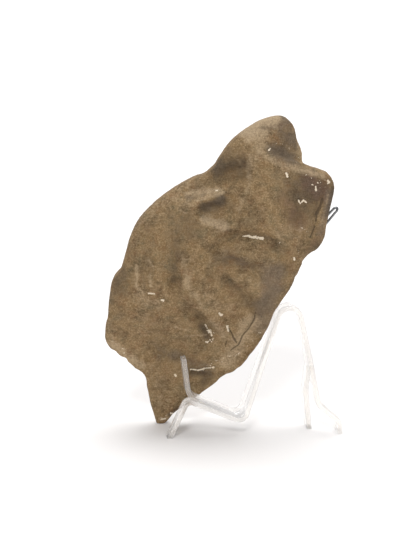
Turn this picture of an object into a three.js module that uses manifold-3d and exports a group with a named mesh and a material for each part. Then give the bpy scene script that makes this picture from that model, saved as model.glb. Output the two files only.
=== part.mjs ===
import * as THREE from "three";
import { mergeVertices } from "three/addons/utils/BufferGeometryUtils.js";
import Module from "manifold-3d";

// Millimetres. X runs along the stand from its front foot to its back toes, Y away from the viewer, Z up.

// The stone is turned a little on its spot, so it has a frame of its own: across, depth (away), up.
const stoneTurn = 6;
const frontDepth = -4;
const chinDepth = 13;
const chinHeight = 42;
const browHeight = 97;
const backDepth = 35;
const backTaper = 5;
const frontRoundness = 2.5;
const backRoundness = 4.5;
const frontRings = 32;
const backRings = 9;
const edgePoints = 192;
const ringCrowding = 1.35;
const centre = { across: 6, up: 100 };

// The strip of clear sheet that is bent into the stand.
const sheet = 3;
const stripWidth = 25;
const apexWidth = 12.5;
const taperStart = 24;
const apexTop = 78.6;
const frontSlit = { from: -3, to: -0.5, until: -4.5 };
const backSlit = { from: -0.5, to: 0.5, below: 39 };
const bendSteps = 7;

// The bends of the strip's middle line, seen from the side, each with the radius of its bend.
const footBend = { x: -11.6, z: 22.8, r: 4 };
const lipBend = { x: -9.7, z: 22, r: 9 };
const valley = { x: 22.3, z: 8.6, r: 5 };
const apex = { x: 52.6, z: 97.8, r: 7.2 };
const kneeBend = { x: 68.1, z: 18.1, r: 5 };
const toeBend = { x: 81, z: 6.9, r: 4 };
const farBend = { x: 63.75, z: 39, r: 12 };
const farAnkle = { x: 62, z: 24, r: 20 };
const footEnd = { x: -23.5, z: -2 };
const lipEnd = { x: -12.8, z: 45.8 };
const toeEnd = { x: 81, z: -2 };
const farToeEnd = { x: 64.4, z: -2 };

// The wire loop, in the stone's own frame.
const wire = 1.5;
const loopStops = [
  { across: 44, depth: 35.6, up: 108 },
  { across: 58, depth: 36, up: 111 },
  { across: 69, depth: 36, up: 119 },
];
const loopTip = { across: 81.5, depth: 36, up: 133 };
const loopHalfGap = 1.2;

// Where the middle of the whole footprint lies, moved onto the part's own origin.
const middle = { x: 12.9, y: 13 };

// The stone's outline from the front: across, up and the depth at which its edge stands out most.
const outline = [
  [46, 192, 13],
  [50.5, 189, 13],
  [53.5, 185, 13],
  [55, 178, 12],
  [58, 170.5, 9],
  [59, 164, 5],
  [68.5, 160.5, 2],
  [74.5, 157.5, 3],
  [77.5, 151, 6],
  [76.5, 142, 10],
  [73.5, 126.5, 12],
  [72, 118, 12],
  [68, 112, 10],
  [61.5, 108, 8],
  [58, 102, 6],
  [52.2, 89.5, 5],
  [43.8, 76, 5],
  [35.4, 59, 6],
  [25.5, 43.5, 9],
  [18.5, 35.8, 11],
  [12, 33, 12],
  [6, 27.5, 13],
  [-2, 20.8, 15],
  [-9, 13.5, 18],
  [-17.5, 8, 20],
  [-24.5, 0.3, 22],
  [-28.5, -2.2, 23],
  [-32, 6.5, 21],
  [-35.5, 22.5, 18],
  [-37, 31, 17],
  [-44, 37.5, 15],
  [-51.5, 44, 14],
  [-57.5, 48.5, 14],
  [-61, 54.5, 14],
  [-60.5, 65, 14],
  [-59.5, 69, 14],
  [-58.5, 80, 15],
  [-56, 92.5, 15],
  [-51.5, 98.5, 15],
  [-49.5, 105, 15],
  [-46, 117, 15],
  [-40.5, 128.5, 14],
  [-33, 137, 13],
  [-30, 140, 12],
  [-18.5, 148.5, 10],
  [-6, 155.5, 9],
  [-1, 157, 9],
  [5.5, 162.5, 9],
  [8, 166.5, 10],
  [15.5, 177, 11],
  [27, 186, 12],
  [36.5, 190.5, 13],
];

// Rounded swellings of the front, and hollows where lift is below nothing.
const swellings = [
  { across: -30, up: 96, wide: 30, high: 40, lift: 5 },
  { across: 32, up: 110, wide: 30, high: 26, lift: 3 },
  { across: 52, up: 146, wide: 26, high: 18, lift: 6 },
  { across: 48, up: 171, wide: 9, high: 5.5, lift: -7 },
  { across: 25, up: 115.5, wide: 10, high: 6, lift: 2.6 },
  { across: 16, up: 110, wide: 4.5, high: 4.5, lift: -3 },
  { across: 28, up: 104, wide: 6, high: 4, lift: -3 },
  { across: 39, up: 90, wide: 9, high: 13, lift: 3 },
  { across: 57, up: 139, wide: 3.5, high: 3.5, lift: -3 },
  { across: -18, up: 96, wide: 5, high: 5, lift: -2 },
  { across: -3, up: 69, wide: 6, high: 5, lift: -2.5 },
  { across: 0, up: 31, wide: 8, high: 4, lift: -2 },
];

// Long ridges of the front, and furrows where lift is below nothing: each follows a line at a given width.
const ridges = [
  { lift: 3.5, width: 5, line: [[27, 178], [28, 166], [26, 154], [20, 136], [12, 128], [1, 130]] },
  { lift: 3, width: 3.5, line: [[32, 172], [45, 166], [58, 163.5], [67, 160], [74, 155]] },
  { lift: -4, width: 5, line: [[16, 171], [15, 161], [1, 155]] },
  { lift: 3, width: 3.5, line: [[-9, 147], [0, 150], [9, 151.5], [19, 155]] },
  { lift: -5, width: 4.5, line: [[-2, 138], [5, 140.5], [16, 147]] },
  { lift: 2, width: 4, line: [[14, 127], [25, 130], [40, 127], [52, 120]] },
  { lift: -2.2, width: 3.2, line: [[10, 115], [14, 120], [22, 123], [40, 120], [53, 113.5]] },
  { lift: 2.5, width: 4, line: [[13, 101], [22, 95], [31, 95], [39, 102]] },
  { lift: -4, width: 3.6, line: [[12, 98], [20, 90], [27, 81], [30, 74]] },
  { lift: 3.2, width: 4, line: [[-11, 114], [-13, 97], [-4, 84], [10, 66], [21, 58]] },
  { lift: -3.5, width: 3.6, line: [[-19, 98], [-16, 86], [-4, 70], [6, 58]] },
  { lift: -2.5, width: 3.5, line: [[70, 142], [65, 133], [61, 124], [55, 112]] },
];

// The far ear lies back behind the near ear's upper edge.
const farEar = { across: 33, up: 171, fall: -0.36, back: 8, blend: 9 };

const wasm = await Module();
wasm.setup();

// Makes a closed geometry into a solid that can be joined and cut.
function solidOf(geometry) {
  const bare = geometry.clone();
  bare.deleteAttribute("normal");
  bare.deleteAttribute("uv");
  const merged = mergeVertices(bare, 1e-4);
  const mesh = new wasm.Mesh({
    numProp: 3,
    vertProperties: new Float32Array(merged.attributes.position.array),
    triVerts: new Uint32Array(merged.index.array),
  });
  return new wasm.Manifold(mesh);
}

// Makes a solid back into a geometry with flat faces.
function geometryOf(solid) {
  const mesh = solid.getMesh();
  const geometry = new THREE.BufferGeometry();
  geometry.setAttribute("position", new THREE.BufferAttribute(mesh.vertProperties, 3));
  geometry.setIndex(new THREE.BufferAttribute(mesh.triVerts, 1));
  const flat = geometry.toNonIndexed();
  flat.computeVertexNormals();
  return flat;
}

function block(x0, x1, y0, y1, z0, z1) {
  const box = new THREE.BoxGeometry(x1 - x0, y1 - y0, z1 - z0);
  box.translate((x0 + x1) / 2, (y0 + y1) / 2, (z0 + z1) / 2);
  return solidOf(box);
}

function eased(t) {
  const inside = Math.min(1, Math.max(0, t));
  return inside * inside * (3 - 2 * inside);
}

// The distance from a point to a line of several stretches.
function distanceTo(line, across, up) {
  let nearest = Infinity;
  for (let i = 0; i + 1 < line.length; i += 1) {
    const [ax, az] = line[i];
    const [bx, bz] = line[i + 1];
    const dx = bx - ax;
    const dz = bz - az;
    const along = ((across - ax) * dx + (up - az) * dz) / (dx * dx + dz * dz);
    const held = Math.min(1, Math.max(0, along));
    nearest = Math.min(nearest, Math.hypot(across - ax - held * dx, up - az - held * dz));
  }
  return nearest;
}

// The depth of the carved front at a point of the outline's plane.
function carvedDepth(across, up) {
  let depth = frontDepth;
  depth += (chinDepth - frontDepth) * eased((browHeight - up) / (browHeight - chinHeight));
  for (const s of swellings) {
    const u = (across - s.across) / s.wide;
    const v = (up - s.up) / s.high;
    depth -= s.lift * Math.exp(-u * u - v * v);
  }
  for (const r of ridges) {
    const d = distanceTo(r.line, across, up) / r.width;
    depth -= r.lift * Math.exp(-d * d);
  }
  const edge = farEar.up + farEar.fall * (across - farEar.across);
  depth += farEar.back * eased((up - edge) / farEar.blend) * eased((across - 20) / 20);
  return depth;
}

// The broken back is nearly flat and thins toward the spike and the ears.
function brokenDepth(across, up) {
  const low = eased((60 - up) / 60);
  const high = eased((up - 150) / 40);
  const sway = 1.2 * Math.sin(across / 17) * Math.cos(up / 23);
  return backDepth - backTaper * low - 4 * high + sway;
}

// Fills the band between a ring of points and the smaller ring inside it.
function fillBand(corners, outer, inner) {
  let i = 0;
  let j = 0;
  while (i < outer.length || j < inner.length) {
    const here = outer[i % outer.length];
    const there = inner[j % inner.length];
    const outerIsNext = (i + 1) / outer.length <= (j + 1) / inner.length;
    if (inner.length === 1 ? i < outer.length : outerIsNext) {
      i += 1;
      corners.push(here, there, outer[i % outer.length]);
    } else {
      j += 1;
      if (inner.length > 1) corners.push(here, there, inner[j % inner.length]);
    }
  }
}

// Rings run from the outline in to the middle of the front, each with fewer points, and the same for the back.
function stoneGeometry() {
  const curve = new THREE.CatmullRomCurve3(
    outline.map(([across, up, depth]) => new THREE.Vector3(across, depth, up)),
    true,
    "centripetal",
  );
  const corners = [];

  function ringOf(rings, ring, roundness, depthAt) {
    const reach = 1 - (1 - ring / rings) ** ringCrowding;
    const share = (1 - reach ** roundness) ** (1 / roundness);
    const count = ring ? Math.round((edgePoints * ring) / rings) : 1;
    const points = [];
    for (let i = 0; i < count; i += 1) {
      const p = curve.getPoint(i / count);
      const across = centre.across + reach * (p.x - centre.across);
      const up = centre.up + reach * (p.z - centre.up);
      points.push(new THREE.Vector3(across, p.y + share * (depthAt(across, up) - p.y), up));
    }
    return points;
  }

  for (let ring = frontRings; ring > 0; ring -= 1) {
    const outer = ringOf(frontRings, ring, frontRoundness, carvedDepth);
    fillBand(corners, outer, ringOf(frontRings, ring - 1, frontRoundness, carvedDepth));
  }
  for (let ring = backRings; ring > 0; ring -= 1) {
    const outer = ringOf(backRings, ring, backRoundness, brokenDepth).reverse();
    fillBand(corners, outer, ringOf(backRings, ring - 1, backRoundness, brokenDepth).reverse());
  }
  const geometry = new THREE.BufferGeometry().setFromPoints(corners);
  geometry.rotateZ(-THREE.MathUtils.degToRad(stoneTurn));
  return geometry;
}

// The middle line of a bent strip: straight stretches with an arc at each bend that has a radius.
function bentLine(stops) {
  const line = [];
  stops.forEach((stop, i) => {
    const here = new THREE.Vector2(stop.x, stop.z);
    if (!stop.r) {
      line.push(here);
      return;
    }
    const back = new THREE.Vector2(stops[i - 1].x, stops[i - 1].z).sub(here).normalize();
    const on = new THREE.Vector2(stops[i + 1].x, stops[i + 1].z).sub(here).normalize();
    const half = Math.acos(back.dot(on)) / 2;
    const middle = back.clone().add(on).normalize();
    const hub = here.clone().addScaledVector(middle, stop.r / Math.sin(half));
    const first = here.clone().addScaledVector(back, stop.r / Math.tan(half)).sub(hub);
    const last = here.clone().addScaledVector(on, stop.r / Math.tan(half)).sub(hub);
    const sweep = Math.atan2(first.cross(last), first.dot(last));
    for (let k = 0; k <= bendSteps; k += 1) {
      const turned = first.clone().rotateAround(new THREE.Vector2(), (sweep * k) / bendSteps);
      line.push(turned.add(hub));
    }
  });
  return line;
}

// A strip of sheet along a bent line, reaching from one depth to another.
function bentStrip(stops, fromY, toY) {
  const line = bentLine(stops);
  const above = [];
  const below = [];
  line.forEach((p, i) => {
    const into = i ? p.clone().sub(line[i - 1]).normalize() : null;
    const out = i + 1 < line.length ? line[i + 1].clone().sub(p).normalize() : null;
    const way = (into || out).clone().add(out || into).normalize();
    const square = new THREE.Vector2(-way.y, way.x);
    const stretch = 1 / way.dot(into || out);
    above.push(p.clone().addScaledVector(square, (stretch * sheet) / 2));
    below.push(p.clone().addScaledVector(square, (-stretch * sheet) / 2));
  });
  const shape = new THREE.Shape([...above, ...below.reverse()]);
  const strip = new THREE.ExtrudeGeometry(shape, { depth: toY - fromY, bevelEnabled: false });
  strip.rotateX(Math.PI / 2);
  strip.translate(0, toY, 0);
  return solidOf(strip);
}

function standSolid() {
  const half = stripWidth / 2;
  const near = bentStrip([footEnd, footBend, valley, apex, kneeBend, toeBend, toeEnd], -half, frontSlit.to);
  const far = bentStrip([lipEnd, lipBend, valley, apex, farBend, farAnkle, farToeEnd], frontSlit.to, half);
  const slitInFront = block(-40, frontSlit.until, frontSlit.from, frontSlit.to, -5, 50);
  const slitBehind = block(58, 90, backSlit.from, backSlit.to, -5, backSlit.below);
  const joined = near.subtract(slitInFront).add(far.subtract(slitBehind));
  const taper = new THREE.Shape();
  taper.moveTo(-half, 0);
  taper.lineTo(half, 0);
  taper.lineTo(half, taperStart);
  taper.lineTo(apexWidth / 2, apexTop - 4);
  taper.lineTo(apexWidth / 2, apexTop + 4);
  taper.lineTo(-apexWidth / 2, apexTop + 4);
  taper.lineTo(-apexWidth / 2, apexTop - 4);
  taper.lineTo(-half, taperStart);
  const sides = new THREE.ExtrudeGeometry(taper, { depth: 140, bevelEnabled: false });
  sides.rotateX(Math.PI / 2);
  sides.rotateZ(Math.PI / 2);
  sides.translate(-40, 0, 0);
  return joined.intersect(solidOf(sides));
}

// A hairpin of wire: two legs behind the stone, closed by a small bend at the tip.
function loopGeometry() {
  const at = (p) => new THREE.Vector3(p.across, p.depth, p.up);
  const stops = loopStops.map(at);
  const tip = at(loopTip);
  const way = tip.clone().sub(stops[stops.length - 1]).normalize();
  stops.push(tip.clone().addScaledVector(way, -3 * loopHalfGap));
  const side = new THREE.Vector3(way.z, 0, -way.x).multiplyScalar(loopHalfGap);
  const shoulder = tip.clone().addScaledVector(way, -loopHalfGap / 2);
  const path = new THREE.CatmullRomCurve3([
    ...stops.map((p) => p.clone().sub(side)),
    shoulder.clone().addScaledVector(side, -0.7),
    tip,
    shoulder.clone().addScaledVector(side, 0.7),
    ...stops.map((p) => p.clone().add(side)).reverse(),
  ]);
  const ring = new THREE.Shape();
  ring.absarc(0, 0, wire / 2, 0, Math.PI * 2);
  const geometry = new THREE.ExtrudeGeometry(ring, { steps: 36, curveSegments: 4, extrudePath: path });
  geometry.rotateZ(-THREE.MathUtils.degToRad(stoneTurn));
  return geometry;
}

function addPiece(group, name, geometry, colour, roughness, metalness) {
  const material = new THREE.MeshStandardMaterial({ color: colour, roughness, metalness });
  const mesh = new THREE.Mesh(geometry, material);
  mesh.name = name;
  group.add(mesh);
}

const group = new THREE.Group();
const floorBelow = block(-100, 120, -80, 80, -20, 0);
const stone = solidOf(stoneGeometry()).subtract(floorBelow);
addPiece(group, "limestone_head", geometryOf(stone), 0x7d6647, 0.9, 0);
addPiece(group, "acrylic_stand", geometryOf(standSolid()), 0xeef2f2, 0.08, 0);
addPiece(group, "wire_loop", geometryOf(solidOf(loopGeometry())), 0x6b6f72, 0.35, 0.9);
group.position.set(-middle.x, -middle.y, 0);

export default group;
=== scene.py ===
import math

import bpy
import bmesh
import numpy as np
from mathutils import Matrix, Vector


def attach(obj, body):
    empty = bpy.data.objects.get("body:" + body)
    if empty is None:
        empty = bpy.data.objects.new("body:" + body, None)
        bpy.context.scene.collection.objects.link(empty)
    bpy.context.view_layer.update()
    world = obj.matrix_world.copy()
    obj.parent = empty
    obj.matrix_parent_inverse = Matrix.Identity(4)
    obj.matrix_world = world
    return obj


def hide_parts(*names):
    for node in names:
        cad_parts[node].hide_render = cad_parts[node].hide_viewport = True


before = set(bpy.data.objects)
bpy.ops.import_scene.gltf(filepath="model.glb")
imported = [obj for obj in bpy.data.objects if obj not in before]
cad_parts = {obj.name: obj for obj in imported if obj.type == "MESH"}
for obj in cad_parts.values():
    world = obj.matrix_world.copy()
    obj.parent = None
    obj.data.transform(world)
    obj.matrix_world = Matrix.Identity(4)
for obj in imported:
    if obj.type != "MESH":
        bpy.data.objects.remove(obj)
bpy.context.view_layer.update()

# Sizes and places are millimetres unless a note says otherwise; every finished mesh is in metres.
mm = 0.001

# The middle of the whole footprint, and how many degrees the stone is turned on its spot.
place = {
    "middleX": 12.9,
    "middleY": 13.0,
    "stoneTurn": 6.0,
}

# A Mix node's colour sockets stand behind its number and vector sockets.
mixSocket = {"factor": 0, "under": 6, "over": 7, "result": 2}


class Value:
    # One number in a node tree, so that shader maths reads as Python.
    def __init__(self, nodes, socket):
        self.nodes = nodes
        self.socket = socket

    def __add__(self, other):
        return self.nodes.maths("ADD", self, other)

    def __radd__(self, other):
        return self.nodes.maths("ADD", other, self)

    def __sub__(self, other):
        return self.nodes.maths("SUBTRACT", self, other)

    def __rsub__(self, other):
        return self.nodes.maths("SUBTRACT", other, self)

    def __mul__(self, other):
        return self.nodes.maths("MULTIPLY", self, other)

    def __rmul__(self, other):
        return self.nodes.maths("MULTIPLY", other, self)

    def __truediv__(self, other):
        return self.nodes.maths("DIVIDE", self, other)

    def __rtruediv__(self, other):
        return self.nodes.maths("DIVIDE", other, self)

    def smooth(self, start, full):
        # Nothing at the start and one at full, with soft ends; start may be the greater of the two.
        sockets = {"Value": self, "From Min": start, "From Max": full}
        node = self.nodes.add("ShaderNodeMapRange", {"interpolation_type": "SMOOTHSTEP"}, sockets)
        return Value(self.nodes, node.outputs["Result"])


class Nodes:
    # Makes the nodes of one tree.
    def __init__(self, tree):
        self.tree = tree

    def feed(self, node, sockets):
        # Each socket is given a Value, another socket to link to, or what it is set to.
        for key, given in sockets.items():
            slot = node.inputs[key]
            source = given.socket if isinstance(given, Value) else given
            if isinstance(source, bpy.types.NodeSocket):
                self.tree.links.new(source, slot)
            elif slot.type == "RGBA":
                slot.default_value = (*source, 1.0)
            else:
                slot.default_value = source

    def add(self, kind, settings, sockets):
        node = self.tree.nodes.new(kind)
        for name, setting in settings.items():
            setattr(node, name, setting)
        self.feed(node, sockets)
        return node

    def maths(self, operation, first, second):
        node = self.add("ShaderNodeMath", {"operation": operation}, {0: first, 1: second})
        return Value(self, node.outputs[0])

    def noise(self, vector, scale, detail, roughness, seed):
        sockets = {"Vector": vector, "Scale": scale, "Detail": detail, "Roughness": roughness, "W": seed}
        node = self.add("ShaderNodeTexNoise", {"noise_dimensions": "4D"}, sockets)
        return Value(self, node.outputs["Fac"])

    def attribute(self, name):
        node = self.add("ShaderNodeAttribute", {"attribute_name": name}, {})
        return Value(self, node.outputs["Fac"])

    def mixed(self, factor, under, over, blend="MIX"):
        settings = {"data_type": "RGBA", "blend_type": blend, "clamp_factor": True}
        slots = {mixSocket["factor"]: factor, mixSocket["under"]: under, mixSocket["over"]: over}
        return self.add("ShaderNodeMix", settings, slots).outputs[mixSocket["result"]]


def newMaterial(name):
    material = bpy.data.materials.new(name)
    material.use_nodes = True
    tree = material.node_tree
    return material, Nodes(tree), tree.nodes["Principled BSDF"]


def objectCoordinates(nodes):
    return nodes.add("ShaderNodeTexCoord", {}, {}).outputs["Object"]


def newMesh(name, points, faces):
    mesh = bpy.data.meshes.new(name)
    mesh.from_pydata([tuple(p) for p in points], [], faces)
    mesh.update()
    mesh.shade_smooth()
    piece = bpy.data.objects.new(name, mesh)
    bpy.context.scene.collection.objects.link(piece)
    return piece


def applyModifiers(piece):
    graph = bpy.context.evaluated_depsgraph_get()
    graph.update()
    made = bpy.data.meshes.new_from_object(piece.evaluated_get(graph))
    old = piece.data
    piece.modifiers.clear()
    piece.data = made
    bpy.data.meshes.remove(old)
    made.name = piece.name


def toRow(across, depth, up):
    # From the stone's own frame (across, away from the viewer, up) to the part's frame in metres.
    turn = math.radians(place["stoneTurn"])
    x = math.cos(turn) * across + math.sin(turn) * depth - place["middleX"]
    y = -math.sin(turn) * across + math.cos(turn) * depth - place["middleY"]
    return np.stack([x, y, up], axis=-1) * mm


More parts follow.
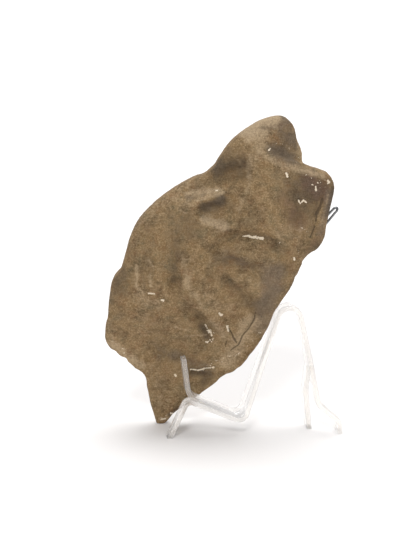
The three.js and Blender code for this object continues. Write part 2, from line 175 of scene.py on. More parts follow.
# The stone, in its own frame: across, away from the viewer and up.
stone = {
    "centre": (6.0, 100.0),
    "frontDepth": -4.0,
    "chinDepth": 13.0,
    "chinHeight": 42.0,
    "browHeight": 97.0,
    "backDepth": 35.0,
    "frontRoundness": 2.5,
    "backRoundness": 4.5,
    # The broken back thins toward the spike and toward the ears, and sways a little in between.
    "spikeThinner": 5.0,
    "spikeTop": 60.0,
    "earsThinner": 4.0,
    "earsStart": 150.0,
    "earsSpan": 40.0,
    "sway": 1.2,
    "swayAcross": 17.0,
    "swayUp": 23.0,
    # How many points lie round the edge and how many rings run from it to each side's middle.
    "edgePoints": 900,
    "frontRings": 155,
    "backRings": 36,
    "ringCrowding": 1.35,
    # The outline from the front: across, up and the depth at which the edge stands out most.
    "outline": [
        (46, 192, 13), (50.5, 189, 13), (53.5, 185, 13), (55, 178, 12), (58, 170.5, 9), (59, 164, 5),
        (68.5, 160.5, 2), (74.5, 157.5, 3), (77.5, 151, 6), (76.5, 142, 10), (73.5, 126.5, 12),
        (72, 118, 12), (68, 112, 10), (61.5, 108, 8), (58, 102, 6), (52.2, 89.5, 5), (43.8, 76, 5),
        (35.4, 59, 6), (25.5, 43.5, 9), (18.5, 35.8, 11), (12, 33, 12), (6, 27.5, 13),
        (-2, 20.8, 15), (-9, 13.5, 18), (-17.5, 8, 20), (-24.5, 0.3, 22), (-28.5, -2.2, 23),
        (-32, 6.5, 21), (-35.5, 22.5, 18), (-37, 31, 17), (-44, 37.5, 15), (-51.5, 44, 14),
        (-57.5, 48.5, 14), (-61, 54.5, 14), (-60.5, 65, 14), (-59.5, 69, 14), (-58.5, 80, 15),
        (-56, 92.5, 15), (-51.5, 98.5, 15), (-49.5, 105, 15), (-46, 117, 15), (-40.5, 128.5, 14),
        (-33, 137, 13), (-30, 140, 12), (-18.5, 148.5, 10), (-6, 155.5, 9), (-1, 157, 9),
        (5.5, 162.5, 9), (8, 166.5, 10), (15.5, 177, 11), (27, 186, 12), (36.5, 190.5, 13),
    ],
    # Small bites out of the broken edge: where, how wide and how far the edge moves in. The last one
    # keeps the grain clear of the stand's top bend, where the stone leans.
    "bites": [
        ((-56, 46), 2.2, 1.0), ((-49.5, 41.5), 1.8, 1.2), ((-43.5, 35), 2.0, -0.5),
        ((-60, 59), 1.6, 0.5), ((28, 45.5), 2.0, 0.5), ((20, 36), 2.2, 0.7), ((60, 105), 1.8, 0.7),
        ((66, 110), 1.6, 0.6), ((-21, 5.5), 1.6, 0.7), ((-12, 12), 1.6, 0.6), ((55, 95), 1.6, 0.4),
        ((9, 30), 1.6, 0.5), ((42.7, 74), 3.0, 0.35),
    ],
    # Swellings of the front: across, up, half width, half height and lift. A negative lift is a hollow.
    "swellings": [
        (-30, 96, 30, 40, 5), (32, 110, 30, 26, 3), (52, 148, 24, 18, 6), (14, 159, 8, 5, -3),
        (4, 137.5, 9, 4.5, -5), (24, 112, 10, 6.5, 3), (15.5, 108, 5, 4, -2.6), (50, 120, 11, 8, 3),
        (64, 150, 8, 10, -3.5), (57.5, 139, 4, 5, -3), (-18.5, 94.5, 4, 5, -2.6),
        (-1, 31, 9, 4.5, -3.5),
    ],
    # Ridges of the front: lift, width and the line that each follows. A negative lift is a furrow.
    "ridges": [
        (3.5, 5.5, [(9, 166), (17, 174), (27, 182)]),
        (-5.5, 5.5, [(25, 161), (18.5, 158), (10, 156.5), (0, 152.5), (-7.5, 148)]),
        (4, 3.8, [(-12, 139.5), (-4, 142), (4, 144.5), (11.5, 148), (18, 152)]),
        (3, 4, [(29.5, 178), (28.5, 165), (28.5, 155), (26, 144.5), (22.5, 135.5), (16.5, 129)]),
        (2, 4.5, [(16.5, 128.5), (7.5, 127), (0, 130)]),
        (1.5, 3, [(37, 170), (44.5, 166), (51.5, 163), (58, 161), (66, 158), (72, 154)]),
        (-2.4, 2.8, [
            (5, 112.5), (7, 118), (13, 121.5), (21, 123), (29, 122.5), (37.5, 120), (43, 114.5),
        ]),
        (-2, 3.4, [(16, 106), (24, 102.5), (33, 102.5)]),
        (2.2, 4.5, [(19.5, 97), (28, 91), (34, 85)]),
        (-3.4, 4.2, [(12.5, 95), (21, 86), (28, 79.5), (32, 73)]),
        (3.4, 4.4, [
            (-12.5, 110.5), (-13.5, 98.5), (-9.5, 85.5), (-2.5, 77), (5, 69), (14, 61), (21, 53.5),
        ]),
        (-2, 3.4, [(-18, 92), (-15, 84), (-12.5, 78), (-7, 72.5), (-1, 65.5), (3, 59.5)]),
        (-2.8, 4.6, [(-3.5, 69), (0.5, 60.5)]),
        (-1.6, 5, [(-19.5, 135), (-22, 119.5), (-20.5, 106.5), (-18.5, 94)]),
        (-1.8, 5, [(-44.5, 101.5), (-48.5, 91.5), (-45, 83)]),
        (-1.8, 6, [(-33.5, 49.5), (-24.5, 46.5), (-14, 48)]),
        (-2.5, 2.6, [(72, 148.5), (69, 140.5), (66.5, 128), (62, 118.5), (57, 112.5)]),
        (-0.7, 1.3, [(7, 116), (13, 121.5), (21, 123.3), (29, 123), (37.5, 120.3), (42, 116)]),
        (1.0, 2.4, [(-40, 116), (-38.5, 104.5), (-34.5, 93), (-30, 88)]),
        (-0.6, 1.4, [(-42, 112), (-41.5, 100), (-38.5, 90), (-33, 85.5)]),
        (-0.6, 1.6, [(-36.5, 106), (-33.5, 99), (-32, 94)]),
        (-0.9, 0.9, [
            (29, 76.5), (30.5, 73), (29.5, 68.5), (27.5, 65.5), (24.5, 60.5), (19, 55.5), (6, 47.5),
        ]),
        (-0.9, 1.0, [(9, 74.5), (11.5, 70.5), (14.5, 65), (16, 60.5), (19, 56), (20.5, 53)]),
        (0.9, 1.2, [(-12, 38), (-1, 38), (7, 39.5)]),
        (-1.0, 2.6, [(47, 111), (43, 102), (40, 92.5), (38, 82)]),
        (-0.5, 0.9, [(-20, 66.5), (-9, 62.5), (1, 61.5)]),
        (0.8, 1.8, [(75, 147), (72.5, 136), (70, 126)]),
        (-0.8, 1.2, [(21.5, 136), (23.5, 132.5)]),
        (-0.6, 1.2, [(35, 131), (36.5, 128.5)]),
    ],
    # The right half of the far ear lies back behind the near ear's upper edge.
    "farEar": {
        "edge": (33, 172.5),
        "edgeFall": -0.36,
        "edgeBlend": 2.6,
        "crest": (36.0, 173.0),
        "crestLean": 0.42,
        "crestBlend": 16.0,
        "back": 10.0,
    },
    # The relief that the geometry nodes raise. At its level a noise leaves the surface as it is, and
    # through its range a pit comes to its full depth.
    "seed": 4.0,
    "grainRoughness": 0.5,
    "lump": {"depth": 1.1, "size": 11.0, "detail": 2.0, "seedStep": 0.0, "level": 0.62},
    "grain": {"depth": 0.44, "size": 1.6, "detail": 2.0, "seedStep": 10.0, "level": 0.60},
    "pit": {"depth": 0.5, "size": 2.6, "detail": 1.0, "seedStep": 20.0, "range": (0.64, 0.76)},
    # Pale flecks where the surface is freshly chipped: a line and how wide the fleck is.
    "chips": [
        ([(25.9, 121.9), (28.9, 121.4), (34.3, 120.5)], 0.9), ([(22.4, 121.9), (25.9, 122.3)], 0.5),
        ([(43.2, 118.4), (46.2, 117.9)], 0.55), ([(53.5, 108.3), (53.7, 107.0)], 0.8),
        ([(37.7, 172.8), (38.9, 173.8)], 0.65), ([(48.4, 159.3), (49.0, 157.6)], 1.0),
        ([(73.2, 154.5), (73.8, 153.7)], 1.2), ([(65.7, 151.4), (66.3, 149.0)], 0.65),
        ([(63.9, 152.7), (64.2, 152.5)], 0.5), ([(66.9, 153.8), (67.1, 153.6)], 0.5),
        ([(55.5, 143.6), (56.8, 141.6), (58.5, 143.3), (60.4, 142.0)], 0.6),
        ([(-33.9, 86.9), (-30.6, 87.2)], 0.9), ([(-25.9, 82.9), (-25.1, 82.5)], 0.9),
        ([(8.8, 73.4), (10.0, 72.2)], 1.0), ([(13.4, 65.0), (14.3, 61.8)], 0.8),
        ([(-0.1, 64.8), (0.5, 64.0)], 0.6), ([(1.8, 60.9), (2.3, 60.1)], 0.6),
        ([(0.4, 53.7), (1.6, 53.2)], 0.6), ([(3.4, 55.0), (4.0, 53.8)], 0.5),
        ([(-8.9, 35.6), (-4.0, 34.9), (-0.3, 36.4), (5.2, 37.2)], 0.6),
        ([(-18.4, 32.4), (-17.9, 31.4)], 0.65), ([(-20.9, 7.1), (-20.1, 6.9)], 0.8),
        ([(-26.6, 3.1), (-24.6, 3.5)], 0.6), ([(6.4, 148.9), (7.6, 149.4)], 0.5),
    ],
    # Thin dark lines where the stone is cracked or cut: a line and its width.
    "cracks": [
        ([(30.6, 73.2), (30, 69.4), (26.4, 62.9), (22.8, 58.3), (20.4, 52.6), (15.6, 48.2)], 0.6),
        ([(14.2, 63.4), (16.1, 60.6), (17.3, 57.3), (19.1, 53.9)], 0.8),
        ([(70.1, 143.7), (69, 138.8), (66.6, 134.6)], 1.5), ([(66.6, 134.6), (66.7, 129.5)], 0.7),
        ([(66, 127), (63, 120)], 0.5), ([(12.5, 50.5), (13.1, 54.5)], 0.5),
    ],
    "markFall": 0.5,  # how much weaker a fleck or a crack is one width away from its line
    # Where the finest flecks lie thick: how strong, how wide and the line that each patch follows.
    "speckled": [
        (0.66, 2.8, [(0.5, 63.5), (4, 58.5)]), (0.62, 2, [(5, 56.5), (3, 54), (1, 53.5)]),
        (0.52, 3, [(56, 127), (61, 124)]), (0.48, 2, [(11.2, 70.6), (12.4, 65.5)]),
        (0.44, 6, [(60, 158), (72, 154), (70, 148)]), (0.52, 2.2, [(-27, 3), (-18, 9)]),
        (0.46, 5, [(0, 37), (24, 48), (34, 62)]), (0.46, 5, [(-56, 53), (-48, 47), (-41, 40)]),
        (0.42, 12, [(40, 180), (52, 168)]), (0.52, 1.8, [(55.8, 168), (57, 165)]),
        (0.46, 2, [(52, 111), (57, 112)]),
    ],
    # Tones of the surface, as rows like those: the stone's own stains and greys, with painted shade and
    # painted highlights among them.
    # Dark dirt together with painted shade: most of these rows lie in hollows (the eye socket, the
    # valley under the brow, the lid line, the mouth, the hollow between the ears) and darken them as
    # shade would.
    "dirtAndShade": [
        (1.2, 6, [(6, 161), (14, 164), (21, 166)]), (0.6, 4, [(14, 158), (24, 158)]),
        (1.2, 4.6, [(0, 138.5), (6, 140.5), (10, 143.5)]), (0.6, 5, [(12, 145), (16, 140)]),
        (1.0, 4, [(58.5, 139), (58, 135.5)]), (1.25, 9, [(61, 156), (62, 146), (69, 150)]),
        (1.3, 5, [(77, 148), (75, 134)]), (0.9, 4, [(15, 109), (19, 107.5)]),
        (0.7, 4, [(19, 106.5), (28, 103)]), (0.6, 5, [(43, 116), (48, 112)]),
        (0.6, 7, [(47, 104), (42, 90), (37, 79)]), (0.9, 2.4, [(-18.9, 97), (-18.7, 94)]),
        (1.1, 2.8, [(-2, 64), (0, 60.5), (1, 57.5)]), (0.9, 7, [(-50, 96), (-52, 88)]),
        (0.6, 6, [(-28, 46), (-16, 43)]), (1.1, 4, [(-7, 34), (3, 32), (-1, 28)]),
        (0.7, 5, [(-17, 43), (-8, 43)]), (0.7, 3, [(-7, 41), (0, 39)]),
        (1.0, 1.8, [(-22, 6), (-17, 10)]), (0.7, 8, [(-17, 130), (-18, 104)]),
        (0.45, 10, [(-34, 126), (-33, 104)]), (0.9, 4.4, [(38.5, 174), (45, 171), (51, 168)]),
        (0.5, 7, [(46, 188), (51, 178), (54, 170)]), (0.4, 4, [(20, 136), (25, 130)]),
        (0.6, 3.2, [(14.7, 93.4), (21.3, 86), (27.5, 78)]), (1.0, 10, [(54, 151), (60, 143), (56, 134)]),
        (0.5, 6, [(42, 157), (46, 148)]), (0.7, 5, [(67, 116), (64, 110)]),
        (0.35, 8, [(31, 134), (36, 128)]), (0.8, 8, [(-12, 131), (-8, 124)]),
        (0.7, 6, [(8, 108), (14, 106)]), (0.7, 5, [(13, 173), (17, 171)]),
        (0.6, 4, [(14, 114), (19, 112)]), (0.4, 8, [(4, 110), (8, 98)]),
        (0.4, 8, [(-52, 76), (-54, 64)]), (0.4, 4, [(-39, 122), (-34, 119)]),
        (0.5, 1.4, [(-37.5, 102), (-36.5, 92)]),
        (0.6, 1.4, [(14, 119.6), (19, 122.8), (25, 123.4), (34.5, 121.4), (45, 119.2), (49, 115)]),
    ],
    "rust": [
        (0.8, 9, [(62, 155), (68, 148)]), (0.8, 5, [(68, 150), (71, 144)]),
        (0.5, 5, [(56, 131), (66, 125)]), (0.6, 5, [(70, 122), (62, 113)]),
        (0.5, 3, [(54, 108), (51, 100)]), (0.45, 5, [(-39, 129), (-35, 126)]),
        (0.6, 10, [(48, 142), (56, 128)]), (0.4, 4, [(-54, 98), (-58, 78)]),
        (0.4, 12, [(-34, 96), (-30, 62), (-24, 30)]), (0.3, 9, [(8, 176), (16, 168)]),
    ],
    "ash": [
        (1.5, 6, [(26, 186), (36, 190), (46, 191)]), (0.8, 8, [(46, 188), (52, 176)]),
        (1.0, 5.5, [(42, 172), (52, 167)]), (1.2, 8, [(41, 99), (38, 82), (35, 66)]),
        (0.6, 5, [(14, 109), (22, 107)]), (0.6, 5, [(3, 139), (10, 145)]),
        (0.7, 4, [(0, 132), (12, 128)]), (0.8, 3.5, [(74, 148), (72, 134), (69, 122)]),
        (0.7, 4, [(-10, 145), (0, 148)]), (0.5, 8, [(60, 154), (67, 149)]),
        (0.6, 5, [(-26, 46), (-18, 45)]), (0.6, 5, [(-8, 40), (4, 36)]),
        (0.5, 6, [(8, 162), (20, 160)]),
    ],
    # Pale stone where it is freshly broken, together with painted highlights: the crown of the far ear,
    # the top edge of the near ear, the bridge ridge and the lid are lightened where light from above
    # falls on them.
    "paleAndHighlight": [
        (1.9, 4.5, [(22, 184), (32, 189.5), (41, 191.5)]), (1.4, 6, [(27, 181), (33, 182)]),
        (0.9, 3, [(27, 170), (26, 158)]), (1.0, 6, [(31, 181), (32, 172)]),
        (1.0, 2.6, [(35, 170), (43, 165), (51, 162.5), (60, 160.5), (70, 157.5)]),
        (0.7, 3, [(56, 176), (58, 166)]), (0.6, 2.4, [(28, 165), (25, 150.5), (21, 141), (19, 134)]),
        (1.2, 1.7, [(-12.2, 146.2), (-0.3, 147.8), (8.6, 149.6)]),
        (1.1, 1.4, [(-5.7, 143), (3, 145.5), (11, 148.3)]),
        (1.2, 3.6, [(-0.3, 132), (5.7, 130.3), (11.6, 128.6)]), (0.7, 7, [(46, 126), (54, 123)]),
        (1.0, 1.5, [(-41.1, 103), (-41.1, 91), (-37, 86.7)]), (0.9, 1.2, [(-33.8, 107), (-31.4, 104)]),
        (1.0, 1.4, [(-32.8, 98), (-32.6, 91.6)]), (0.8, 4, [(-12, 107.6), (-10, 92.3), (-1.2, 78)]),
        (0.5, 6, [(-2, 80), (8, 72), (16, 76)]), (1.1, 8, [(13.8, 42), (20, 54), (28, 66)]),
        (0.5, 6, [(5, 66), (16, 60), (24, 58)]), (1.3, 4, [(-57, 52), (-47, 43), (-39, 38)]),
        (0.7, 4, [(-60, 66), (-57, 54)]), (0.6, 4, [(-34, 132.6), (-18, 146), (-3, 155)]),
        (0.5, 7, [(-34, 36), (-29, 26), (-26, 16)]), (0.7, 8, [(-38, 84), (-29, 80)]),
        (0.9, 5, [(5, 68), (9, 62), (12, 57)]), (0.6, 8, [(0, 84), (8, 76)]),
        (0.6, 4, [(-37, 133), (-42, 126)]), (0.6, 6, [(-30, 137), (-20, 143), (-8, 141)]),
        (0.45, 10, [(-36, 76), (-36, 64)]), (0.5, 5, [(20, 97), (31, 93)]),
        (0.6, 2, [(58, 106), (50, 92)]), (0.4, 4, [(18, 111.5), (24, 110)]),
        (1.0, 0.9, [(-17.9, 63.9), (-10, 61.7)]), (0.9, 0.9, [(-12.5, 58.3), (0.9, 57.9)]),
        (0.8, 1.3, [(-14.6, 137), (-12.2, 135.9)]), (0.7, 1.6, [(19.9, 166.7), (21.1, 164.1)]),
        (0.9, 2, [(-27.5, 2.9), (-23.7, 3.6)]), (0.7, 1.2, [(73.5, 146), (72, 137), (70, 128)]),
    ],
    "dirtAndShadeFade": 4.0,  # how quickly the dark rows of dirt and painted shade stop where the front turns into the edge
    # The finish's noises: scale, detail, roughness and seed. Strokes are drawn out level.
    "noises": {
        "broad": (30.0, 3.0, 0.5, 1.0),
        "mottled": (110.0, 4.0, 0.6, 2.0),
        "tinted": (110.0, 6.0, 0.75, 9.0),
        "patches": (260.0, 3.0, 0.6, 5.0),
        "grain": (1000.0, 3.0, 0.7, 3.0),
        "speck": (1700.0, 2.0, 0.6, 4.0),
        "strokes": (900.0, 3.0, 0.65, 6.0),
        "flakes": (700.0, 2.0, 0.6, 8.0),
    },
    "strokeStretch": (0.30, 0.30, 1.5),
    # The ground: the noise that mixes it, where the mixing starts and is full, and its two browns.
    "ground": ("broad", (0.35, 0.65), (0.240, 0.152, 0.067), (0.289, 0.191, 0.092)),
    # Layers of colour, each over the one before: a noise or a tone, how far other noises roughen it,
    # where its mask starts and is full, how strong it is and its colour.
    "layers": [
        ("mottled", {}, (0.42, 0.62), 0.90, (0.128, 0.082, 0.038)),
        ("tinted", {}, (0.50, 0.64), 0.60, (0.245, 0.128, 0.058)),
        ("tinted", {}, (0.48, 0.36), 0.60, (0.155, 0.130, 0.072)),
        ("patches", {}, (0.45, 0.60), 0.50, (0.300, 0.206, 0.108)),
        ("strokes", {}, (0.48, 0.60), 0.45, (0.320, 0.226, 0.120)),
        ("grain", {}, (0.50, 0.60), 0.40, (0.370, 0.270, 0.160)),
        ("speck", {}, (0.52, 0.60), 0.40, (0.060, 0.042, 0.024)),
        # Painted shade: the furrows of the relief are darkened in the colour, deeper furrows more.
        ("furrowShade", {}, (-0.2, -4.0), 0.25, (0.085, 0.058, 0.032)),
        # Dirt and painted shade in the hollows.
        ("dirtAndShade", {"patches": 0.9, "mottled": 0.7, "grain": 0.6}, (0.15, 1.4), 0.80,
         (0.070, 0.052, 0.034)),
        ("rust", {"patches": 0.8, "grain": 0.4}, (0.3, 0.95), 0.60, (0.130, 0.068, 0.044)),
        ("ash", {"mottled": 1.0, "strokes": 1.0}, (0.2, 1.0), 0.50, (0.168, 0.132, 0.100)),
        # Pale stone and painted highlights.
        ("paleAndHighlight", {"patches": 1.3, "strokes": 0.9}, (0.25, 1.4), 0.75, (0.420, 0.315, 0.195)),
    ],
    # Dark pores over all of those: the noises in them, where they start and are full, and their shade.
    "pores": ({"grain": 0.6, "speck": 0.25, "patches": 0.15}, (0.58, 0.42), (0.68, 0.665, 0.65)),
    # Marks over the pores, as rows like those of the layers.
    "marks": [
        ("crack", {"patches": 0.9}, (0.62, 0.80), 0.70, (0.050, 0.033, 0.018)),
        ("chip", {"flakes": 1.3}, (0.62, 0.70), 0.92, (0.700, 0.600, 0.460)),
    ],
    "noiseMiddle": 0.5,
    "roughness": 0.86,
    "roughnessSwing": 0.2,
    "specular": 0.25,
    "bump": {"grain": 0.30, "mottled": 0.45, "patches": 0.30, "strokes": 0.20},
    "crackBump": 0.5,
    "bumpStrength": 0.95,
    "bumpDepth": 0.9,
}


def eased(t):
    t = np.clip(t, 0.0, 1.0)
    return t * t * (3.0 - 2.0 * t)


def distanceTo(line, across, up):
    nearest = np.full(np.shape(across), np.inf)
    for (ax, az), (bx, bz) in zip(line[:-1], line[1:]):
        dx, dz = bx - ax, bz - az
        along = ((across - ax) * dx + (up - az) * dz) / (dx * dx + dz * dz)
        held = np.clip(along, 0.0, 1.0)
        nearest = np.minimum(nearest, np.hypot(across - ax - held * dx, up - az - held * dz))
    return nearest


def raised(rows, across, up):
    # Ridges and furrows add up where they cross.
    total = np.zeros(np.shape(across))
    for lift, width, line in rows:
        total += lift * np.exp(-((distanceTo(line, across, up) / width) ** 2))
    return total


def strongest(rows, across, up):
    # Where tones cross, the stronger one shows.
    most = np.zeros(np.shape(across))
    for amount, width, line in rows:
        most = np.maximum(most, amount * np.exp(-((distanceTo(line, across, up) / width) ** 2)))
    return most


def marked(rows, across, up):
    # A mark has a crisp edge: it weakens evenly away from its line.
    near = np.zeros(np.shape(across))
    for line, width in rows:
        near = np.maximum(near, 1.0 - stone["markFall"] * distanceTo(line, across, up) / width)
    return near


def carvedDepth(across, up):
    fall = (stone["browHeight"] - up) / (stone["browHeight"] - stone["chinHeight"])
    depth = stone["frontDepth"] + (stone["chinDepth"] - stone["frontDepth"]) * eased(fall)
    for x, z, wide, high, lift in stone["swellings"]:
        depth = depth - lift * np.exp(-(((across - x) / wide) ** 2) - ((up - z) / high) ** 2)
    depth = depth - raised(stone["ridges"], across, up)
    ear = stone["farEar"]
    edge = ear["edge"][1] + ear["edgeFall"] * (across - ear["edge"][0])
    crest = ear["crest"][0] + ear["crestLean"] * (up - ear["crest"][1])
    above = eased((up - edge) / ear["edgeBlend"])
    return depth + ear["back"] * above * eased((across - crest) / ear["crestBlend"])


def brokenDepth(across, up):
    low = eased((stone["spikeTop"] - up) / stone["spikeTop"])
    high = eased((up - stone["earsStart"]) / stone["earsSpan"])
    sway = stone["sway"] * np.sin(across / stone["swayAcross"]) * np.cos(up / stone["swayUp"])
    return stone["backDepth"] - stone["spikeThinner"] * low - stone["earsThinner"] * high + sway


def outlineAt(shares):
    # A closed centripetal curve through the outline, as the solid has.
    points = np.array(stone["outline"], float)[:, [0, 2, 1]]
    count = len(points)
    at = np.asarray(shares) * count
    first = np.floor(at).astype(int)
    part = (at - first)[:, None]
    before, start, end, after = (points[(first + step) % count] for step in (-1, 0, 1, 2))

    def span(a, b):
        return np.sqrt(np.linalg.norm(b - a, axis=1))[:, None]

    last, here, then = span(before, start), span(start, end), span(end, after)
    leaving = ((start - before) / last - (end - before) / (last + here) + (end - start) / here) * here
    arriving = ((end - start) / here - (after - start) / (here + then) + (after - end) / then) * here
    square = -3 * start + 3 * end - 2 * leaving - arriving
    cube = 2 * start - 2 * end + leaving + arriving
    return start + leaving * part + square * part**2 + cube * part**3


def bitten(points):
    inward = np.array(stone["centre"]) - points[:, [0, 2]]
    inward /= np.linalg.norm(inward, axis=1)[:, None]
    move = np.zeros(len(points))
    for (x, z), width, deep in stone["bites"]:
        gap = np.hypot(points[:, 0] - x, points[:, 2] - z)
        move += deep * np.exp(-((gap / width) ** 2))
    points[:, 0] += inward[:, 0] * move
    points[:, 2] += inward[:, 1] * move
    return points


def ringOf(side, ring):
    # One ring's points, and how far its surface has left the edge for the middle's depth.
    rings = stone[side + "Rings"]
    roundness = stone[side + "Roundness"]
    depthAt = carvedDepth if side == "front" else brokenDepth
    reach = 1 - (1 - ring / rings) ** stone["ringCrowding"]
    share = (1 - reach**roundness) ** (1 / roundness)
    count = round(stone["edgePoints"] * ring / rings) if ring else 1
    edge = bitten(outlineAt(np.arange(count) / count))
    centreX, centreZ = stone["centre"]
    across = centreX + reach * (edge[:, 0] - centreX)
    up = centreZ + reach * (edge[:, 2] - centreZ)
    depth = edge[:, 1] + share * (depthAt(across, up) - edge[:, 1])
    return np.stack([across, depth, up], axis=1), share


def bandFaces(outer, inner):
    # Fills the band between a ring and the smaller ring inside it, or the single point in the middle.
    faces = []
    if len(inner) == 1:
        for i, here in enumerate(outer):
            faces.append((here, inner[0], outer[(i + 1) % len(outer)]))
        return faces
    i = j = 0
    while i < len(outer) or j < len(inner):
        here, there = outer[i % len(outer)], inner[j % len(inner)]
        if (i + 1) * len(inner) <= (j + 1) * len(outer):
            i += 1
            faces.append((here, there, outer[i % len(outer)]))
        else:
            j += 1
            faces.append((here, there, inner[j % len(inner)]))
    return faces


def stoneMesh():
    # Both sides start at the same edge ring; a share below nothing belongs to the back.
    blocks, shares, faces = [], [], []

    def addRing(side, ring):
        points, share = ringOf(side, ring)
        first = sum(len(block) for block in blocks)
        blocks.append(points)
        shares.append(np.full(len(points), share if side == "front" else -share))
        return range(first, first + len(points))

    edge = addRing("front", stone["frontRings"])
    for side in ("front", "back"):
        outer = edge
        for ring in reversed(range(stone[side + "Rings"])):
            inner = addRing(side, ring)
            band = bandFaces(outer, inner)
            faces += band if side == "front" else [(a, c, b) for a, b, c in band]
            outer = inner
    return np.concatenate(blocks), faces, np.concatenate(shares)


def limestoneMaterial():
    material, nodes, shader = newMaterial("limestone")
    coordinates = objectCoordinates(nodes)
    stretch = {"Vector": coordinates, "Scale": stone["strokeStretch"]}
    tooled = nodes.add("ShaderNodeMapping", {}, stretch).outputs["Vector"]
    masks = {}
    for name, (scale, detail, roughness, seed) in stone["noises"].items():
        vector = tooled if name == "strokes" else coordinates
        masks[name] = nodes.noise(vector, scale, detail, roughness, seed)
    for name in ("furrowShade", "dirtAndShade", "rust", "paleAndHighlight", "ash", "chip", "crack"):
        masks[name] = nodes.attribute(name)

    def weighed(weights):
        parts = [masks[name] * weight for name, weight in weights.items()]
        return sum(parts[1:], parts[0])

    def laid(colour, row):
        name, roughened, ends, strength, over = row
        mask = masks[name]
        for noiseName, amount in roughened.items():
            mask = mask + (masks[noiseName] - stone["noiseMiddle"]) * amount
        mask = mask.smooth(*ends) * strength
        return nodes.mixed(mask, colour, over), mask

    noiseName, ends, darkBrown, lightBrown = stone["ground"]
    colour = nodes.mixed(masks[noiseName].smooth(*ends), darkBrown, lightBrown)
    for row in stone["layers"]:
        colour, _ = laid(colour, row)
    weights, ends, shade = stone["pores"]
    pores = nodes.mixed(weighed(weights).smooth(*ends), (1.0, 1.0, 1.0), shade)
    colour = nodes.mixed(1.0, colour, pores, "MULTIPLY")
    laidMarks = {}
    for row in stone["marks"]:
        colour, laidMarks[row[0]] = laid(colour, row)

    height = weighed(stone["bump"]) - laidMarks["crack"] * stone["crackBump"]
    bump = {"Strength": stone["bumpStrength"], "Distance": stone["bumpDepth"] * mm, "Height": height}
    uneven = (masks["grain"] - stone["noiseMiddle"]) * stone["roughnessSwing"]
    nodes.feed(shader, {
        "Base Color": colour,
        "Roughness": stone["roughness"] + uneven,
        "Specular IOR Level": stone["specular"],
        "Normal": nodes.add("ShaderNodeBump", {}, bump).outputs["Normal"],
    })
    return material


def grainSizes():
    sizes = {"Seed": stone["seed"]}
    for name in ("lump", "grain", "pit"):
        sizes[name.title() + " Depth"] = stone[name]["depth"] * mm
        sizes[name.title() + " Size"] = stone[name]["size"] * mm
    return sizes


def grainTree(material):
    tree = bpy.data.node_groups.new("stoneGrain", "GeometryNodeTree")
    tree.interface.new_socket("Geometry", in_out="INPUT", socket_type="NodeSocketGeometry")
    for name in grainSizes():
        tree.interface.new_socket(name, in_out="INPUT", socket_type="NodeSocketFloat")
    tree.interface.new_socket("Geometry", in_out="OUTPUT", socket_type="NodeSocketGeometry")
    nodes = Nodes(tree)
    given = nodes.add("NodeGroupInput", {}, {}).outputs
    position = nodes.add("GeometryNodeInputPosition", {}, {}).outputs[0]
    normal = nodes.add("GeometryNodeInputNormal", {}, {}).outputs[0]

    def noiseOf(name):
        scale = 1.0 / Value(nodes, given[name.title() + " Size"])
        seed = Value(nodes, given["Seed"]) + stone[name]["seedStep"]
        return nodes.noise(position, scale, stone[name]["detail"], stone["grainRoughness"], seed)

    def depthOf(name):
        return Value(nodes, given[name.title() + " Depth"])

    lumps = (noiseOf("lump") - stone["lump"]["level"]) * depthOf("lump")
    grain = (noiseOf("grain") - stone["grain"]["level"]) * depthOf("grain")
    pits = noiseOf("pit").smooth(*stone["pit"]["range"]) * depthOf("pit")
    height = lumps + grain - pits
    offset = nodes.add("ShaderNodeVectorMath", {"operation": "SCALE"}, {0: normal, "Scale": height})
    moves = {"Geometry": given["Geometry"], "Offset": offset.outputs[0]}
    moved = nodes.add("GeometryNodeSetPosition", {}, moves)
    realized = nodes.add("GeometryNodeRealizeInstances", {}, {"Geometry": moved.outputs[0]})
    finish = {"Geometry": realized.outputs[0], "Material": material}
    finished = nodes.add("GeometryNodeSetMaterial", {}, finish)
    nodes.add("NodeGroupOutput", {}, {"Geometry": finished.outputs[0]})
    return tree


def addGrain(piece, material):
    modifier = piece.modifiers.new("grain", "NODES")
    modifier.node_group = grainTree(material)
    sizes = grainSizes()
    for socket in modifier.node_group.interface.items_tree:
        if socket.name in sizes:
            modifier[socket.identifier] = sizes[socket.name]
    applyModifiers(piece)


def levelWithFloor(mesh):
    # The spike stands on the floor, so nothing of it reaches below.
    flat = np.empty(len(mesh.vertices) * 3, np.float32)
    mesh.vertices.foreach_get("co", flat)
    flat[2::3] = np.maximum(flat[2::3], 0.0)
    mesh.vertices.foreach_set("co", flat)
    mesh.update()


def makeStone():
    points, faces, share = stoneMesh()
    across, depth, up = points.T
    piece = newMesh("stoneHead", toRow(across, depth, up), faces)
    inFront = np.clip(share, 0.0, 1.0)
    chipped = np.maximum(marked(stone["chips"], across, up), strongest(stone["speckled"], across, up))
    tones = {
        # Painted shade: how deep each furrow of the front sinks, which darkens it in the colour.
        "furrowShade": raised(stone["ridges"], across, up) * inFront,
        # Dirt and painted shade, fading out toward the edge.
        "dirtAndShade": strongest(stone["dirtAndShade"], across, up) * np.clip(share * stone["dirtAndShadeFade"], 0.0, 1.0),
        "rust": strongest(stone["rust"], across, up),
        # Pale stone and painted highlights on crests and top edges.
        "paleAndHighlight": strongest(stone["paleAndHighlight"], across, up),
        "ash": strongest(stone["ash"], across, up),
        "chip": np.clip(chipped, 0.0, 1.0) * (share > 0.0),
        "crack": marked(stone["cracks"], across, up) * (share > 0.0),
    }
    for name, values in tones.items():
        field = piece.data.attributes.new(name, "FLOAT", "POINT")
        field.data.foreach_set("value", np.asarray(values, np.float32))
    material = limestoneMaterial()
    piece.data.materials.append(material)
    addGrain(piece, material)
    levelWithFloor(piece.data)
    piece.data.shade_smooth()
    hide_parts("limestone_head")
    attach(piece, "root")
    print("stone:", len(piece.data.vertices), "vertices")


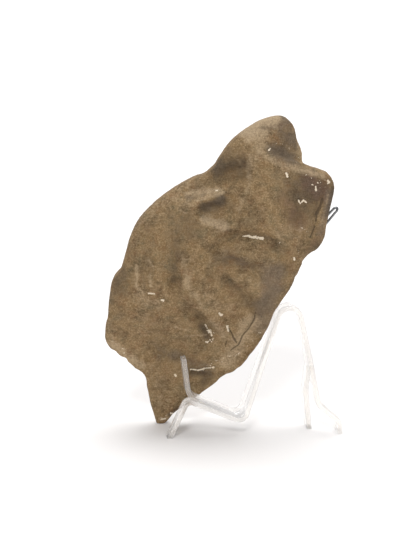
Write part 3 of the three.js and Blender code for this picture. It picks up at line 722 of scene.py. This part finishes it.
# The stand: one strip of clear sheet, slit at both ends so that its near and far halves part.
stand = {
    "sheet": 3.0,
    "width": 25.0,
    "apexWidth": 12.5,
    "taperStart": 24.0,
    "taperEnd": 74.6,
    "frontSlit": (-3.0, -0.5),
    "backSlit": (-0.5, 0.5),
    "slitFrontX": -4.5,
    "slitBackZ": 40.0,
    "farToeDrop": 0.5,
    "bendSteps": 14,
    # The middle line of each stretch, seen from the side: x, z and the radius of the bend there.
    "foot": [(-23.5, -2, 0), (-11.6, 22.8, 4), (22.3, 8.6, 0)],
    "lip": [(-12.8, 45.8, 0), (-9.7, 22, 9), (22.3, 8.6, 0)],
    "body": [(-11.6, 22.8, 0), (22.3, 8.6, 5), (52.6, 97.8, 7.2), (68.1, 18.1, 0)],
    "nearToe": [(52.6, 97.8, 0), (68.1, 18.1, 5), (81, 6.9, 4), (81, -2, 0)],
    "farToe": [(52.6, 97.8, 0), (63.85, 40, 12), (62, 24, 20), (64.4, -2, 0)],
    "edgeRound": 0.3,
    "edgeSegments": 2,
    "edgeAngle": 50.0,
    "sharpAngle": 40.0,
    "ior": 1.49,
    # The sheet's faces, its cut edges and the arris between them: colour, roughness, how much light
    # passes as through glass, and alpha.
    "finishes": {
        "clearSheet": ((0.98, 0.98, 0.98), 0.03, 1.0, 0.40),
        "sheetEdge": ((0.94, 0.895, 0.84), 0.22, 0.70, 0.66),
        # Painted refraction: the arris is grey to stand in for the darker line that light bending
        # through a clear edge shows there.
        "refractedEdgeLine": ((0.66, 0.64, 0.63), 0.35, 0.3, 0.6),
    },
}


def sheetMaterial(name):
    material, nodes, shader = newMaterial(name)
    colour, roughness, transmission, alpha = stand["finishes"][name]
    nodes.feed(shader, {
        "Base Color": colour,
        "Roughness": roughness,
        "IOR": stand["ior"],
        "Transmission Weight": transmission,
        "Alpha": alpha,
    })
    return material


def arcAt(before, corner, after, radius):
    # The points of a bend that rounds a corner.
    here = Vector(corner)
    back = (Vector(before) - here).normalized()
    on = (Vector(after) - here).normalized()
    half = math.acos(back.dot(on)) / 2
    hub = here + (back + on).normalized() * (radius / math.sin(half))
    first = here + back * (radius / math.tan(half)) - hub
    last = here + on * (radius / math.tan(half)) - hub
    sweep = math.atan2(first.x * last.y - first.y * last.x, first.dot(last))
    arc = []
    for k in range(stand["bendSteps"] + 1):
        turn = sweep * k / stand["bendSteps"]
        x = first.x * math.cos(turn) - first.y * math.sin(turn)
        z = first.x * math.sin(turn) + first.y * math.cos(turn)
        arc.append(hub + Vector((x, z)))
    return arc


def bentLine(stops):
    line = []
    for i, (x, z, radius) in enumerate(stops):
        if radius:
            line += arcAt(stops[i - 1][:2], (x, z), stops[i + 1][:2], radius)
        else:
            line.append(Vector((x, z)))
    return line


def halfWidthAt(z):
    share = (z - stand["taperStart"]) / (stand["taperEnd"] - stand["taperStart"])
    share = min(1.0, max(0.0, share))
    return (stand["width"] + (stand["apexWidth"] - stand["width"]) * share) / 2


def bodyLine():
    # The stretch that both halves share starts at the front slit's end and ends at the back slit's top.
    ends = (stop[:2] for stop in stand["body"])
    (startX, startZ), (valleyX, valleyZ), (apexX, apexZ), (kneeX, kneeZ) = ends
    line = bentLine(stand["body"])
    shelfShare = (stand["slitFrontX"] - startX) / (valleyX - startX)
    line[0] = Vector((stand["slitFrontX"], startZ + (valleyZ - startZ) * shelfShare))
    legShare = (apexZ - stand["slitBackZ"]) / (apexZ - kneeZ)
    line[-1] = Vector((apexX + (kneeX - apexX) * legShare, stand["slitBackZ"]))
    return line


def standSheet():
    # The sheet's middle, in columns from the viewer's side away: near, the slits' three edges, and far.
    vertices, faces = [], []

    def row(point, columns):
        half = halfWidthAt(point.y)
        depths = {
            "near": -half,
            "slitNear": max(-half, stand["frontSlit"][0]),
            "slitMiddle": stand["frontSlit"][1],
            "slitFar": stand["backSlit"][1],
            "far": half,
        }
        indices = {}
        for name in columns:
            indices[name] = len(vertices)
            vertices.append((point.x, depths[name], point.y))
        return indices

    def stretch(points, columns, first=None, last=None):
        rows = [row(p, columns) for p in points]
        if first:
            rows.insert(0, first)
        if last:
            rows.append(last)
        for here, there in zip(rows[:-1], rows[1:]):
            for left, right in zip(columns[:-1], columns[1:]):
                faces.append((here[left], there[left], there[right], here[right]))
        return rows[0], rows[-1]

    shelfX, legZ = stand["slitFrontX"], stand["slitBackZ"]
    foot = [p for p in bentLine(stand["foot"]) if p.x < shelfX]
    lip = [p for p in bentLine(stand["lip"]) if p.x < shelfX]
    nearToe = [p for p in bentLine(stand["nearToe"]) if p.y < legZ]
    farToe = [p for p in bentLine(stand["farToe"]) if p.y < legZ - stand["farToeDrop"]]
    bodyFirst, bodyLast = stretch(bodyLine(), ("near", "slitNear", "slitMiddle", "slitFar", "far"))
    stretch(foot, ("near", "slitNear"), last=bodyFirst)
    stretch(lip, ("slitMiddle", "slitFar", "far"), last=bodyFirst)
    stretch(nearToe, ("near", "slitNear", "slitMiddle"), first=bodyLast)
    stretch(farToe, ("slitFar", "far"), first=bodyLast)
    middle = (place["middleX"], place["middleY"])
    return [((x - middle[0]) * mm, (y - middle[1]) * mm, z * mm) for x, y, z in vertices], faces


def cutAtFloor(mesh):
    # The feet are sawn off level with the floor and their ends are closed.
    shape = bmesh.new()
    shape.from_mesh(mesh)
    everything = shape.verts[:] + shape.edges[:] + shape.faces[:]
    bmesh.ops.bisect_plane(
        shape, geom=everything, plane_co=(0, 0, 0), plane_no=(0, 0, -1), clear_outer=True
    )
    openEdges = [edge for edge in shape.edges if edge.is_boundary]
    bmesh.ops.holes_fill(shape, edges=openEdges)
    bmesh.ops.recalc_face_normals(shape, faces=shape.faces)
    shape.to_mesh(mesh)
    shape.free()


def makeStand():
    piece = newMesh("clearStand", *standSheet())
    slots = list(stand["finishes"])
    for name in slots:
        piece.data.materials.append(sheetMaterial(name))
    thicken = piece.modifiers.new("sheet", "SOLIDIFY")
    thicken.thickness = stand["sheet"] * mm
    thicken.offset = 0.0
    thicken.use_even_offset = True
    thicken.material_offset_rim = slots.index("sheetEdge")
    rounded = piece.modifiers.new("edges", "BEVEL")
    rounded.width = stand["edgeRound"] * mm
    rounded.segments = stand["edgeSegments"]
    rounded.limit_method = "ANGLE"
    rounded.angle_limit = math.radians(stand["edgeAngle"])
    # The arris gets the painted refraction line.
    rounded.material = slots.index("refractedEdgeLine")
    applyModifiers(piece)
    cutAtFloor(piece.data)
    piece.data.shade_smooth()
    piece.data.set_sharp_from_angle(angle=math.radians(stand["sharpAngle"]))
    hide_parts("acrylic_stand")
    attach(piece, "root")
    print("stand:", len(piece.data.vertices), "vertices")


# The wire, in the stone's frame: two legs behind the stone that meet in a small bend at the tip.
wireLoop = {
    "wire": 1.5,
    "halfGap": 1.2,
    "tip": (80.9, 36.0, 132.3),
    "stops": [(44.0, 35.6, 108.0), (58.0, 36.0, 111.0), (69.0, 36.0, 119.0)],
    # Where the legs start to close and how wide their shoulders are, in half gaps.
    "closing": 3.0,
    "shoulderBack": 0.5,
    "shoulderWide": 0.7,
    "roundSteps": 4,
    "stopSteps": 10,
    # The finish: the noise's scale, detail, roughness and seed, its mixing range and the two greys.
    "noise": (300.0, 3.0, 0.6, 7.0),
    "dullRange": (0.35, 0.7),
    "darkGrey": (0.13, 0.14, 0.15),
    "paleGrey": (0.30, 0.31, 0.32),
    "roughness": 0.32,
    "roughnessSwing": 0.25,
    "metallic": 0.9,
}


def wireMaterial():
    material, nodes, shader = newMaterial("greyWire")
    dull = nodes.noise(objectCoordinates(nodes), *wireLoop["noise"])
    greys = (wireLoop["darkGrey"], wireLoop["paleGrey"])
    nodes.feed(shader, {
        "Base Color": nodes.mixed(dull.smooth(*wireLoop["dullRange"]), *greys),
        "Roughness": wireLoop["roughness"] + dull * wireLoop["roughnessSwing"],
        "Metallic": wireLoop["metallic"],
    })
    return material


def wirePath():
    tip = np.array(wireLoop["tip"])
    stops = [np.array(p) for p in wireLoop["stops"]]
    way = tip - stops[-1]
    way /= np.linalg.norm(way)
    gap = wireLoop["halfGap"]
    stops.append(tip - way * wireLoop["closing"] * gap)
    side = np.array([way[2], 0.0, -way[0]]) * gap
    shoulder = tip - way * gap * wireLoop["shoulderBack"]
    outward = side * wireLoop["shoulderWide"]
    path = [p - side for p in stops]
    path += [shoulder - outward, tip, shoulder + outward]
    path += [p + side for p in reversed(stops)]
    across, depth, up = np.array(path).T
    return toRow(across, depth, up)


def makeWire():
    points = wirePath()
    curve = bpy.data.curves.new("wireLoop", "CURVE")
    curve.dimensions = "3D"
    curve.bevel_depth = wireLoop["wire"] / 2 * mm
    curve.bevel_resolution = wireLoop["roundSteps"]
    curve.use_fill_caps = True
    spline = curve.splines.new("BEZIER")
    spline.resolution_u = wireLoop["stopSteps"]
    spline.bezier_points.add(len(points) - 1)
    for knot, p in zip(spline.bezier_points, points):
        knot.co = p
        knot.handle_left_type = knot.handle_right_type = "AUTO"
    curve.materials.append(wireMaterial())
    drawn = bpy.data.objects.new("wireLoop", curve)
    bpy.context.scene.collection.objects.link(drawn)
    graph = bpy.context.evaluated_depsgraph_get()
    mesh = bpy.data.meshes.new_from_object(drawn.evaluated_get(graph))
    bpy.data.objects.remove(drawn)
    piece = bpy.data.objects.new("wireLoop", mesh)
    bpy.context.scene.collection.objects.link(piece)
    mesh.shade_smooth()
    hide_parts("wire_loop")
    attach(piece, "root")
    print("wire:", len(mesh.vertices), "vertices")


# The camera: its angles are degrees, its lens and sensor millimetres, and its clipping metres.
view = {
    "turn": 6.0,
    "tilt": 11.0,
    "distance": 1300.0,
    "aim": (0.0, 0.0, 98.38),
    "lens": 142.6,
    "sensor": 36.0,
    "clip": (0.05, 30.0),
}


def makeCamera():
    turn, tilt = math.radians(view["turn"]), math.radians(view["tilt"])
    level = math.cos(tilt)
    back = Vector((-math.sin(turn) * level, -math.cos(turn) * level, math.sin(tilt)))
    aim = Vector(view["aim"]) - Vector((place["middleX"], place["middleY"], 0.0))
    lens = bpy.data.cameras.new("camera")
    lens.lens = view["lens"]
    lens.sensor_width = view["sensor"]
    lens.clip_start, lens.clip_end = view["clip"]
    camera = bpy.data.objects.new("camera", lens)
    bpy.context.scene.collection.objects.link(camera)
    camera.location = (aim + back * view["distance"]) * mm
    camera.rotation_euler = (-back).to_track_quat("-Z", "Y").to_euler()
    bpy.context.scene.camera = camera
    print("camera set")


# The studio: a pale sky, two soft suns and a floor. How wide a sun looks and its aim are degrees.
light = {
    "sky": 0.34,
    "suns": {
        "top": {"energy": 2.9, "angle": 58.0, "aim": (-20.0, 5.0)},
        "key": {"energy": 1.75, "angle": 12.0, "aim": (52.0, -14.0)},
    },
    "floor": (0.82, 0.803, 0.797),
    "floorRoughness": 0.6,
    "floorReach": 20000.0,
}


def makeStudio():
    world = bpy.data.worlds.new("studio")
    world.use_nodes = True
    sky = world.node_tree.nodes["Background"]
    Nodes(world.node_tree).feed(sky, {"Color": (1.0, 1.0, 1.0), "Strength": light["sky"]})
    bpy.context.scene.world = world
    bpy.context.scene.view_settings.view_transform = "Standard"

    for name, sun in light["suns"].items():
        lamp = bpy.data.lights.new(name, "SUN")
        lamp.energy = sun["energy"]
        lamp.angle = math.radians(sun["angle"])
        hung = bpy.data.objects.new(name, lamp)
        bpy.context.scene.collection.objects.link(hung)
        tilt, side = sun["aim"]
        hung.rotation_euler = (math.radians(tilt), math.radians(side), 0.0)

    material, nodes, shader = newMaterial("floorWhite")
    nodes.feed(shader, {"Base Color": light["floor"], "Roughness": light["floorRoughness"]})
    reach = light["floorReach"] * mm
    corners = [(-reach, -reach, 0), (reach, -reach, 0), (reach, reach, 0), (-reach, reach, 0)]
    floor = newMesh("floor", corners, [(0, 1, 2, 3)])
    floor.data.materials.append(material)
    print("studio set")


makeStone()
makeStand()
makeWire()
makeCamera()
makeStudio()
